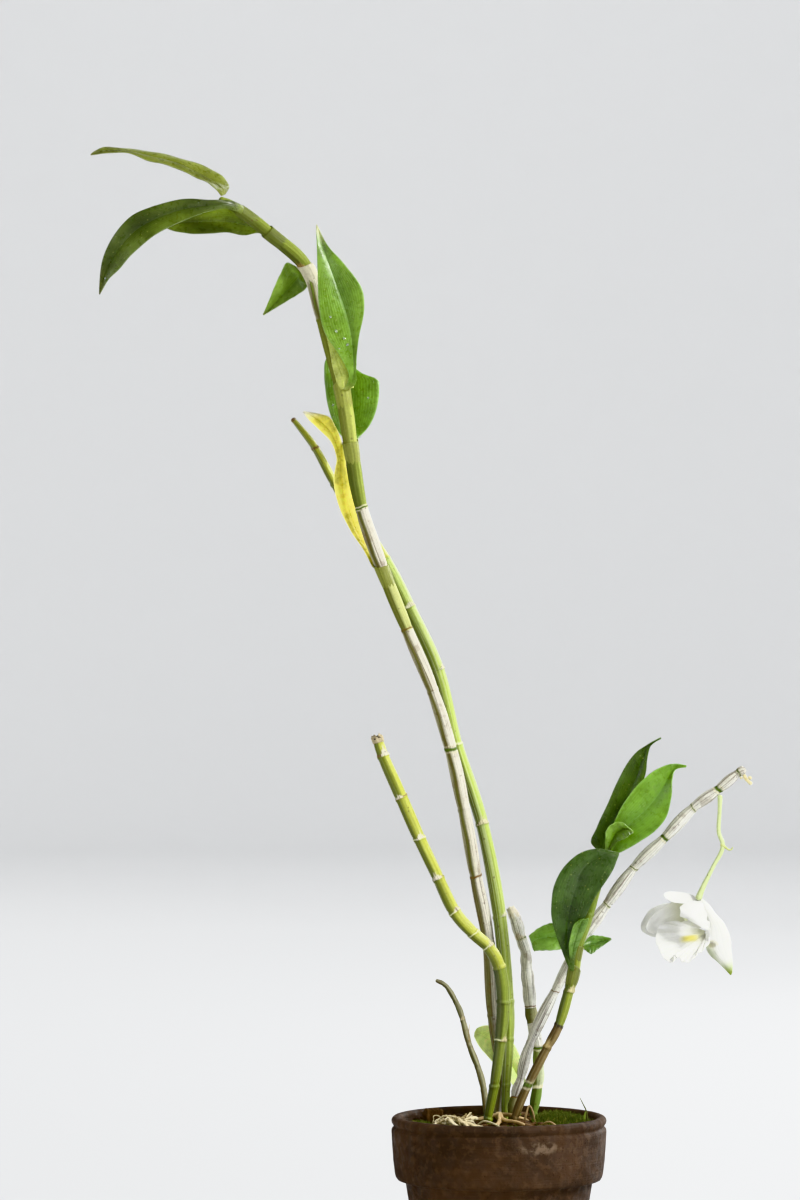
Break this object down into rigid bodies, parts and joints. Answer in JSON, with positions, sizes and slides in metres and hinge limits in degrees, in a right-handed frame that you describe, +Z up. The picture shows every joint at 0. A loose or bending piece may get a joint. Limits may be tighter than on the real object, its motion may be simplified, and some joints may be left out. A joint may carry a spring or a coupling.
{
  "type": "potted dendrobium orchid",
  "caption": "Dendrobium orchid with slender jointed canes, glossy leaves and a nodding white bloom, rooted in bark mix in a small weathered clay pot.",
  "frame": {"origin": "centre of the pot's flat underside, on the surface that the pot stands on", "axes": "+Z up along the pot's axis; the picture looks along +Y, with +X to its right"},
  "size_m": [0.3349, 0.108, 0.5858],
  "materials": {
    "terracotta": "weathered matt terracotta",
    "potting_bark": "damp bark mix",
    "bark": "rough dry bark",
    "moss": "living moss",
    "pale_root": "dry velamen",
    "tan_root": "dry root",
    "papery_cane": "papery sheathed cane",
    "green_cane": "waxy green cane",
    "yellow_green_cane": "waxy yellow-green cane",
    "withered_cane": "withered cane",
    "shoot_skin": "sheathed young shoot",
    "leaf_green": "satin leaf",
    "leaf_bright": "satin leaf",
    "leaf_olive": "satin leaf",
    "leaf_yellow": "ageing leaf",
    "leaf_pale": "young leaf",
    "stalk": "flower stalk",
    "petal": "velvety petal",
    "stub": "dried stalk"
  },
  "bodies": {
    "root": {"pot": "terracotta", "potting_mix": "potting_bark", "moss": "moss", "bark_piece": "bark", "pale_roots": "pale_root", "rhizome_roots": "tan_root", "tall_leafy_cane": "papery_cane", "tall_green_cane": "green_cane", "short_green_cane": "yellow_green_cane", "thin_dry_cane": "withered_cane", "short_dry_cane": "papery_cane", "flowering_cane": "papery_cane", "leafy_shoot": "shoot_skin", "top_narrow_leaf": "leaf_olive", "top_drooping_leaf": "leaf_green", "top_under_leaf": "leaf_green", "small_pointed_leaf": "leaf_green", "bright_folded_leaf": "leaf_bright", "broad_back_leaf": "leaf_bright", "yellow_leaf": "leaf_yellow", "shoot_front_leaf": "leaf_green", "shoot_upright_leaf": "leaf_green", "shoot_right_leaf": "leaf_bright", "shoot_young_leaf": "leaf_bright", "shoot_lower_left_leaf": "leaf_bright", "shoot_lower_right_leaf": "leaf_bright", "basal_leaf": "leaf_pale", "flower_stalk": "stalk", "spur": "petal", "column": "petal", "old_flower_stub": "stub", "dorsal_sepal": "petal", "near_petal": "petal", "far_petal": "petal", "far_sepal": "petal", "lip": "petal"}
  },
  "joints": []
}
